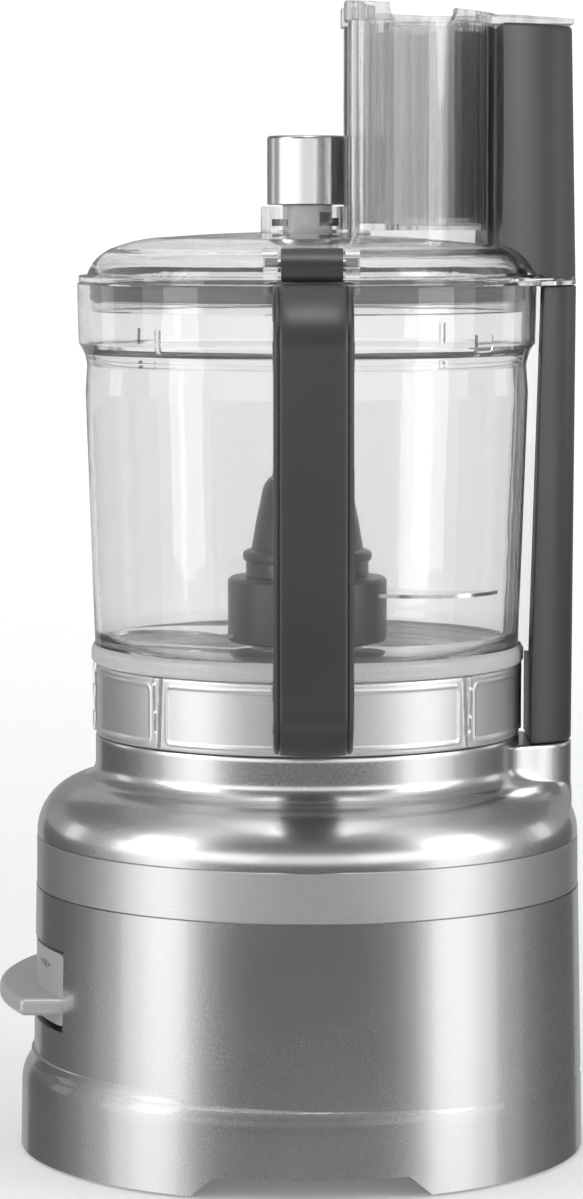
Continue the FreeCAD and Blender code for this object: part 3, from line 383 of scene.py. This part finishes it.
def outline(start, *parts):
    """A sampled outline. Parts are (end, n) or (via, end, n)."""
    pts = [start]
    for p in parts:
        pts += arc3(pts[-1], p[0], p[1], p[2]) if len(p) == 3 else run(pts[-1], p[0], p[1])
    return pts


def new_piece(name, bm, mat, body, nodes=(), smooth=True, sharp=None):
    bmesh.ops.remove_doubles(bm, verts=bm.verts, dist=1e-6)
    bmesh.ops.recalc_face_normals(bm, faces=bm.faces)
    me = bpy.data.meshes.new(name)
    bm.to_mesh(me)
    bm.free()
    for p in me.polygons:
        p.use_smooth = smooth
    if smooth and sharp is not None:
        me.set_sharp_from_angle(angle=math.radians(sharp))
    o = bpy.data.objects.new(name, me)
    scene.collection.objects.link(o)
    me.materials.append(mat)
    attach(o, body)
    if nodes:
        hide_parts(*nodes)
    return o


def skin(bm, rows, closed_u=False, closed_v=False):
    """Quads over rows of points (mm)."""
    grid = [[bm.verts.new((p[0] * MM, p[1] * MM, p[2] * MM)) for p in r] for r in rows]
    nu, nv = len(grid), len(grid[0])
    for i in range(nu if closed_u else nu - 1):
        for j in range(nv if closed_v else nv - 1):
            a, b = grid[i], grid[(i + 1) % nu]
            bm.faces.new((a[j], a[(j + 1) % nv], b[(j + 1) % nv], b[j]))
    return grid


def lathe(bm, prof, n, relief=None, cx=0.0, cy=0.0):
    """Closed ring of a closed section. prof: (radius, z). relief(angle, radius, z) gives a new radius."""
    rows = []
    for r, z in prof:
        row = []
        for i in range(n):
            a = 2 * math.pi * i / n
            rr = relief(a, r, z) if relief else r
            row.append((cx + rr * math.cos(a), cy + rr * math.sin(a), z))
        rows.append(row)
    skin(bm, rows, closed_u=True, closed_v=True)


# ------------------------------------------------------------------ handle grip
GRIP_OUT = outline((92.2, 334.0), ((126.0, 334.0), 8), ((142.4, 327.0), (150.0, 308.0), 16), ((150.0, 186.0), 30),
                   ((146.2, 173.4), (134.0, 167.2), 12), ((84.2, 167.2), 10))
GRIP_IN = outline((92.2, 326.2), ((125.0, 326.2), 8), ((137.4, 321.4), (142.0, 309.0), 16), ((142.0, 187.0), 30),
                  ((139.2, 178.4), (131.0, 175.2), 12), ((84.2, 175.2), 10))
HALF_SEC = [(14.1, 8.0), (14.1, 3.4), (14.06, 2.4), (13.9, 1.7), (13.55, 1.2), (13.1, 0.95), (12.6, 0.9), (12.36, 1.0),
            (12.28, 1.9), (12.02, 1.9), (11.92, 0.95), (11.6, 0.62), (10.6, 0.36), (8.0, 0.16), (4.0, 0.04), (0.0, 0.0)]
SEC = [(-y, d) for y, d in HALF_SEC] + [(y, d) for y, d in HALF_SEC[-2::-1]]
bm = bmesh.new()
rows = []
for po, pi in zip(GRIP_OUT, GRIP_IN):
    depth = math.hypot(pi[0] - po[0], pi[1] - po[1])
    row = []
    for y, d in SEC:
        t = d / 8.0 if d >= 8.0 else d / depth
        row.append((po[0] + (pi[0] - po[0]) * t, y, po[1] + (pi[1] - po[1]) * t))
    rows.append(row)
skin(bm, rows, closed_v=True)
bm.verts.ensure_lookup_table()
n_sec = len(SEC)
bm.faces.new([bm.verts[i] for i in range(n_sec)][::-1])
bm.faces.new([bm.verts[len(bm.verts) - n_sec + i] for i in range(n_sec)])
new_piece("handle_grip_shell", bm, M["dark_plastic"], "bowl", ("handle_grip",), sharp=38)


# ------------------------------------------------------------------ satin ring with panels and ribs
RIBS = [math.radians(45 * k + 1.2) for k in range(8)]


def ring_relief(a, r, z):
    if r < 81.2 or not 160.4 < z < 187.2:
        return r
    k = int(round((a - RIBS[0]) / (math.pi / 4))) % 8
    s = (a - RIBS[k] + math.pi) % (2 * math.pi) - math.pi
    s *= 81.5
    out = 0.0
    # A rib that narrows downward, or the plain edge beside the handle.
    if k not in (0,):
        w = 0.75 + 1.15 * (z - 161.0) / 25.0
        d = abs(s)
        if d < w + 0.6:
            t = min(1.0, max(0.0, (w + 0.6 - d) / 0.6))
            valley = 0.55 if w > 1.0 and d < w - 0.6 else 0.0
            out = 1.15 * t * (1.0 - valley)
    # The panel between two ribs has a fine raised rim.
    half = 81.5 * math.pi / 8
    u = half - abs(s)
    qx = abs(u) - (half - 4.4)
    qz = abs(z - 173.3) - 10.6
    ox, oz = max(qx + 2.0, 0.0), max(qz + 2.0, 0.0)
    d = math.hypot(ox, oz) + min(max(qx + 2.0, qz + 2.0), 0.0) - 2.0
    out += 0.42 * math.exp(-(d / 0.42) ** 2)
    if d < 0:
        out -= 0.22
    return r + out


bm = bmesh.new()
ring_prof = [(79.0, 160.0), (80.8, 160.0), (81.3, 160.3)]
ring_prof += [(81.5, 160.8 + 0.55 * i) for i in range(47)]
ring_prof += [(81.4, 186.8), (81.0, 187.2), (79.4, 187.3), (30.0, 187.3), (14.5, 187.3), (14.5, 185.9), (30.0, 185.9), (79.0, 185.9)]
lathe(bm, ring_prof, 1080, ring_relief)
new_piece("bowl_foot_ring", bm, M["satin_ring"], "bowl", ("bowl_skirt_ring",), sharp=50)

# Frosted rounded shoulder between the clear wall and the satin ring.
bm = bmesh.new()
lathe(bm, outline((79.6, 187.5), ((81.2, 187.4), 2), ((82.7, 188.1), (83.0, 190.0), 6), ((83.05, 192.4), (81.95, 194.6), 8),
                  ((81.75, 194.4), 1), ((81.72, 192.6), 2), ((81.3, 191.9), 1), ((79.6, 191.9), 2)), 360)
new_piece("bowl_foot_frost", bm, M["frost"], "bowl", (), sharp=50)


# ------------------------------------------------------------------ upper housing with a blended rear stub
UP_OUT = outline((104.2, 121.0), ((98.6, 136.2), (88.0, 142.3), 26), ((83.3, 144.8), (81.6, 149.6), 9), ((81.6, 156.2), 6),
                 ((81.6, 158.9), 2), ((81.4, 159.5), 1), ((80.9, 159.7), 1))


def blend_r(theta, rz, grow, k=9.0):
    """Outer radius at an angle from +Y where a disc of radius rz and the round stub run together."""
    sx, cy = math.sin(theta), math.cos(theta)
    if cy < 0.3:
        return rz
    rs = 23.4 - grow

    def sd(r):
        d1 = r - rz
        d2 = math.hypot(r * sx, r * cy - 78.5) - rs
        h = max(k - abs(d1 - d2), 0.0) / k
        return min(d1, d2) - h * h * k * 0.25

    lo_r, hi_r = rz - 0.01, 112.0
    if sd(lo_r) > -1e-6 and sd(rz + 0.3) > 0:
        return rz
    for _ in range(26):
        mid = 0.5 * (lo_r + hi_r)
        if sd(mid) < 0:
            lo_r = mid
        else:
            hi_r = mid
    return 0.5 * (lo_r + hi_r)


def drill(bm, x, y, r, z0, z1):
    """Cut a round well into a closed mesh. Millimetres in, a new mesh out."""
    bmesh.ops.recalc_face_normals(bm, faces=bm.faces)
    pair = []
    tool = bmesh.new()
    bmesh.ops.create_cone(tool, cap_ends=True, segments=48, radius1=r * MM, radius2=r * MM, depth=(z1 - z0) * MM,
                          matrix=Matrix.Translation((x * MM, y * MM, 0.5 * (z0 + z1) * MM)))
    for nm, b in (("drill_work", bm), ("drill_tool", tool)):
        me = bpy.data.meshes.new(nm)
        b.to_mesh(me)
        b.free()
        o = bpy.data.objects.new(nm, me)
        scene.collection.objects.link(o)
        pair.append(o)
    md = pair[0].modifiers.new("well", "BOOLEAN")
    md.operation = "DIFFERENCE"
    md.solver = "EXACT"
    md.object = pair[1]
    ev = pair[0].evaluated_get(bpy.context.evaluated_depsgraph_get())
    out = bmesh.new()
    out.from_mesh(ev.to_mesh())
    ev.to_mesh_clear()
    for o in pair:
        bpy.data.objects.remove(o, do_unlink=True)
    return out


ANG = []
a = -180.0
while a < 180.0 - 1e-6:
    ANG.append(a)
    a += 0.5 if abs(a + 0.25) < 34 else 2.0
bm = bmesh.new()
rows = []


def up_row(r, z, mode):
    row = []
    for deg in ANG:
        th = math.radians(deg)
        rr = r
        if mode is not None:
            rr = min(max(blend_r(th, r, mode), r), 102.0 if r < 102.0 else r)
        row.append((rr * math.sin(th), rr * math.cos(th), z))
    return row


for r, z in UP_OUT:
    if z <= 156.3:
        rows.append(up_row(r, z, 0.0))
        if z > 155.9:
            rows.append(up_row(r, 156.6, 0.35))
            rows.append(up_row(r, 156.85, 1.0))
            rows.append(up_row(r, 156.9, 4.0))
            rows.append(up_row(r, 156.95, None))
    else:
        rows.append(up_row(r, z, None))
for r, z in ((77.3, 159.7), (77.0, 159.5), (77.0, 157.4), (52.0, 157.4), (27.4, 157.4), (23.2, 161.9), (22.4, 162.2), (14.0, 162.2),
             (14.0, 159.2), (21.4, 159.2), (25.4, 154.6), (50.0, 154.6), (78.4, 154.6), (78.4, 149.6), (80.4, 142.2), (86.4, 139.2), (96.0, 134.0),
             (100.3, 121.6), (100.3, 121.0)):
    rows.append(up_row(r, z, None))
skin(bm, rows, closed_u=True, closed_v=True)
bm = drill(bm, 0.0, 94.6, 4.1, 150.0, 158.0)
new_piece("upper_housing_skin", bm, M["silver_paint"], "base", ("upper_housing",), sharp=42)
# The port in the stub that the bowl's rod presses through.
bm = bmesh.new()
lathe(bm, [(3.1, 157.0), (3.4, 157.25), (4.6, 157.2), (5.0, 156.9), (3.1, 156.9)], 40, None, 0.0, 94.6)
new_piece("interlock_port", bm, M["black_plastic"], "base", (), sharp=40)


# ------------------------------------------------------------------ paddle marks: plain dots and a bar
def plan_patch(bm, r, ang, z0, z1, w, lift=0.06):
    """A small raised tile on the paddle's curved plate. ang in degrees from -Y towards +X."""
    rows = []
    for i in range(5):
        t = ang + (i / 4.0 - 0.5) * math.degrees(w / r)
        th = math.radians(t)
        rows.append([(q * math.sin(th), -q * math.cos(th), z) for q, z in
                     ((r - 0.2, z0), (r + lift, z0 + 0.05), (r + lift, z1 - 0.05), (r - 0.2, z1))])
    skin(bm, rows)


bm = bmesh.new()
for k, (t, z0, z1, w) in enumerate(((13.0, 74.6, 75.6, 1.0), (14.6, 74.2, 76.0, 0.9), (16.2, 73.8, 76.2, 0.9), (17.9, 73.4, 76.4, 1.0),
                                    (19.8, 74.3, 75.5, 1.4))):
    plan_patch(bm, 104.7, t, z0, z1, w)
new_piece("paddle_marks", bm, M["black_plastic"], "paddle", (), sharp=40)


# ------------------------------------------------------------------ rear cover of the feed tube
def cover_foot(y):
    """Height of the cover's lower edge: it rides over the shoulder of the dome."""
    pts = ((71.0, 347.3), (74.6, 345.9), (78.0, 344.0), (81.1, 341.3), (83.2, 338.2), (84.4, 335.9), (87.6, 335.5), (88.2, 334.5), (110.0, 334.5))
    for (y0, z0), (y1, z1) in zip(pts, pts[1:]):
        if y <= y1:
            return z0 + (z1 - z0) * (y - y0) / (y1 - y0)
    return 334.5


def cover_plan(r, inset):
    r -= inset
    front = 71.8 + inset
    xw = math.sqrt(r * r - (front - 52.5) ** 2)
    a0 = math.atan2(front - 52.5, xw)
    pts = [(xw - 0.9 - (2 * xw - 1.8) * i / 24.0, front) for i in range(25)]
    a1 = math.pi - a0
    n = 72
    for i in range(n + 1):
        t = i / float(n)
        a = (a1 - 0.018) + ((a0 + 0.018) - (a1 - 0.018)) * t
        pts.append((r * math.cos(a), 52.5 + r * math.sin(a)))
    return pts


bm = bmesh.new()
rows = []
levels = [(0.0, 0.5), (0.004, 0.0)] + [(0.02 + 0.96 * i / 14.0, 0.0) for i in range(15)]
levels += [(0.9872, 0.05), (0.9925, 0.22), (0.9966, 0.55), (0.9990, 0.95), (1.0, 1.5)]
for t, inset in levels:
    row = []
    for x, y in cover_plan(49.9, inset):
        zb = cover_foot(y)
        z = zb + (429.3 - zb) * t
        k = 1.0 - (z - 334.5) / 94.8 * 0.038
        row.append((x * k, max(71.8, 52.5 + (y - 52.5) * k) if y < 72.5 else 52.5 + (y - 52.5) * k, z))
    rows.append(row)
grid = skin(bm, rows, closed_v=True)
bm.faces.new(grid[-1])
mid = bm.verts.new((0, 0.088, 0.3352))
for a, b in zip(grid[0], grid[0][1:] + grid[0][:1]):
    bm.faces.new((a, b, mid))
new_piece("tube_cover_shell", bm, M["dark_plastic"], "lid", ("tube_cover",), sharp=40)

# ------------------------------------------------------------------ soft edges on the moulded pieces
def soft_edges(node, width, angle=38.0, seg=3):
    o = NODES[node]
    w = o.modifiers.new("join", "WELD")
    w.merge_threshold = 0.00001
    b = o.modifiers.new("soft_edges", "BEVEL")
    b.width = width * MM
    b.segments = seg
    b.limit_method = "ANGLE"
    b.angle_limit = math.radians(angle)
    b.use_clamp_overlap = True
    n = o.modifiers.new("normals", "WEIGHTED_NORMAL")
    n.keep_sharp = False
    n.weight = 80


for nm, w in (("paddle", 1.3), ("latch", 1.1), ("column_cover", 1.2)):
    soft_edges(nm, w)

# ------------------------------------------------------------------ stage, light, camera
def lin(c):
    return (c, c, c, 1.0)


def stage_mat(name, colour, rough=0.9, emit=0.0):
    m = Mat(name)
    m.set(Base_Color=lin(colour), Roughness=rough)
    if emit:
        m.set(Emission_Color=(1, 1, 1, 1), Emission_Strength=emit)
    return m.m


def sweep(name, x_back, z_top, x_front, half_y, radius):
    """Floor that curves up into a backdrop behind the object."""
    me = bpy.data.meshes.new(name)
    bm = bmesh.new()
    prof = [(x_front, 0.0)]
    n = 16
    for i in range(n + 1):
        a = math.pi / 2 * i / n
        prof.append((x_back + radius - radius * math.sin(a), radius - radius * math.cos(a)))
    prof.append((x_back, z_top))
    cols = []
    for x, z in prof:
        cols.append((bm.verts.new((x, -half_y, z - 0.0002)), bm.verts.new((x, half_y, z - 0.0002))))
    for a, b in zip(cols, cols[1:]):
        bm.faces.new((a[0], a[1], b[1], b[0]))
    bmesh.ops.recalc_face_normals(bm, faces=bm.faces)
    bm.to_mesh(me)
    bm.free()
    for p in me.polygons:
        p.use_smooth = True
    o = bpy.data.objects.new(name, me)
    scene.collection.objects.link(o)
    me.materials.append(stage_mat(name, 0.90, 0.85, 0.14))
    o.visible_glossy = False
    return o


sweep("stage_sweep", -2.6, 3.0, 2.4, 4.0, 1.2)

world = bpy.data.worlds.new("studio")
scene.world = world
world.use_nodes = True
bg = world.node_tree.nodes["Background"]
wt = world.node_tree
w_co = wt.nodes.new("ShaderNodeTexCoord")
w_sep = wt.nodes.new("ShaderNodeSeparateXYZ")
w_map = wt.nodes.new("ShaderNodeMapRange")
w_map.inputs["From Min"].default_value = -1.0
w_map.inputs["From Max"].default_value = 1.0
w_ramp = wt.nodes.new("ShaderNodeValToRGB")
w_ramp.color_ramp.interpolation = "EASE"
for e, (pos, c) in zip([w_ramp.color_ramp.elements[0], w_ramp.color_ramp.elements[1],
                        w_ramp.color_ramp.elements.new(0.3), w_ramp.color_ramp.elements.new(0.62)],
                       [(0.0, 0.90), (1.0, 0.10), (0.3, 0.55), (0.62, 0.30)]):
    e.position = pos
    e.color = (c, c, c, 1.0)
wt.links.new(w_co.outputs["Generated"], w_sep.inputs[0])
wt.links.new(w_sep.outputs[0], w_map.inputs["Value"])
wt.links.new(w_map.outputs[0], w_ramp.inputs[0])
wt.links.new(w_ramp.outputs[0], bg.inputs[0])
bg.inputs[1].default_value = 1.0


def area(name, loc, target, size, energy, size_y=None, spread=math.pi):
    l = bpy.data.lights.new(name, "AREA")
    l.energy = energy
    l.shape = "RECTANGLE"
    l.size = size
    l.size_y = size_y or size
    l.spread = spread
    o = bpy.data.objects.new(name, l)
    o.location = loc
    d = Vector(target) - Vector(loc)
    o.rotation_euler = d.to_track_quat("-Z", "Y").to_euler()
    scene.collection.objects.link(o)
    return o


def polar(az, r, z):
    """az in degrees from the camera side (+X) towards +Y."""
    a = math.radians(az)
    return (r * math.cos(a), r * math.sin(a), z)


def glow_mat(lum):
    m = bpy.data.materials.new("card_%03d" % int(lum * 100))
    m.use_nodes = True
    t = m.node_tree
    t.nodes.clear()
    e = t.nodes.new("ShaderNodeEmission")
    e.inputs[0].default_value = (1, 1, 1, 1)
    e.inputs[1].default_value = lum
    o = t.nodes.new("ShaderNodeOutputMaterial")
    t.links.new(e.outputs[0], o.inputs[0])
    return m


def card(name, rings, az0, az1, lum):
    """A studio card that only reflections see. rings: (radius, height) pairs."""
    me = bpy.data.meshes.new(name)
    bm = bmesh.new()
    n = max(2, int(abs(az1 - az0) / 6) + 1)
    rows = []
    for r, z in rings:
        rows.append([bm.verts.new(polar(az0 + (az1 - az0) * i / (n - 1.0), r, z)) for i in range(n)])
    for a, b in zip(rows, rows[1:]):
        for i in range(n - 1):
            bm.faces.new((a[i], a[i + 1], b[i + 1], b[i]))
    bm.to_mesh(me)
    bm.free()
    me.materials.append(glow_mat(lum))
    o = bpy.data.objects.new(name, me)
    scene.collection.objects.link(o)
    o.visible_camera = False
    o.visible_diffuse = False
    o.visible_transmission = False
    o.visible_shadow = False
    return o


# Soft boxes and dark flags round the object, seen in its reflections only.
SECTORS = [(0, 27, 0.03), (27, 36, 0.08), (36, 44, 0.26), (44, 50, 0.75), (50, 70, 1.75), (70, 82, 1.25), (82, 98, 0.42),
           (98, 112, 0.16), (112, 148, 0.09), (148, 180, 0.42)]
HIGH_SECTORS = [(0, 20, 1.45), (20, 88, 2.10), (88, 110, 0.40), (110, 122, 1.40), (122, 148, 0.34), (148, 180, 0.28)]
for side in (-1, 1):
    for k, (a0, a1, lum) in enumerate(SECTORS):
        tag = "%s_%d" % ("left" if side < 0 else "right", k)
        card("card_wall_" + tag, [(1.5, -0.45), (1.5, 0.185)], side * a0, side * a1, lum)
        card("card_upper_" + tag, [(1.5, 0.62), (1.5, 1.55)], side * a0, side * a1, 0.10 + 0.78 * lum)
        card("card_slope_" + tag, [(1.5, 1.55), (0.95, 1.66)], side * a0, side * a1, 0.34 + 0.50 * lum)
    for k, (a0, a1, lum) in enumerate(HIGH_SECTORS):
        tag = "%s_%d" % ("left" if side < 0 else "right", k)
        card("card_high_" + tag, [(1.5, 0.185), (1.5, 0.62)], side * a0, side * a1, lum)
card("card_top", [(0.95, 1.66), (0.02, 1.75)], 0, 360, 0.85)
card("card_front_box", [(0.90, 1.62), (0.25, 1.70)], -15, 15, 9.0)

area("box_left", polar(-66, 1.5, 0.42), (0, 0, 0.22), 0.55, 9, 1.25)
area("box_right", polar(66, 1.5, 0.42), (0, 0, 0.22), 0.55, 9, 1.25)
area("top", (0.1, 0, 1.7), (0, 0, 0.2), 1.2, 2.4)
area("back_wash", (-1.1, 0, 1.7), (-2.6, 0, 0.7), 2.4, 11, 0.8)
scene.cycles.max_bounces = 32
scene.cycles.transmission_bounces = 28
scene.cycles.glossy_bounces = 8
scene.cycles.transparent_max_bounces = 24

YAW = math.radians(-0.65)
PITCH = math.radians(5.32)
DIST, SIDE, HIGH = 1.614, -0.0061, 0.361
fwd = Vector((math.cos(YAW), math.sin(YAW), 0))
right = Vector((-math.sin(YAW), math.cos(YAW), 0))
cam_data = bpy.data.cameras.new("camera")
cam_data.sensor_width = 36.0
cam_data.sensor_fit = "AUTO"
cam_data.lens = 4210.0 * 36.0 / 1199.0
cam_data.clip_start = 0.05
cam_data.clip_end = 30.0
cam = bpy.data.objects.new("camera", cam_data)
cam.location = fwd * DIST + right * SIDE + Vector((0, 0, HIGH))
look = -fwd * math.cos(PITCH) - Vector((0, 0, math.sin(PITCH)))
cam.rotation_euler = look.to_track_quat("-Z", "Y").to_euler()
scene.collection.objects.link(cam)
scene.camera = cam
scene.view_settings.view_transform = "Standard"
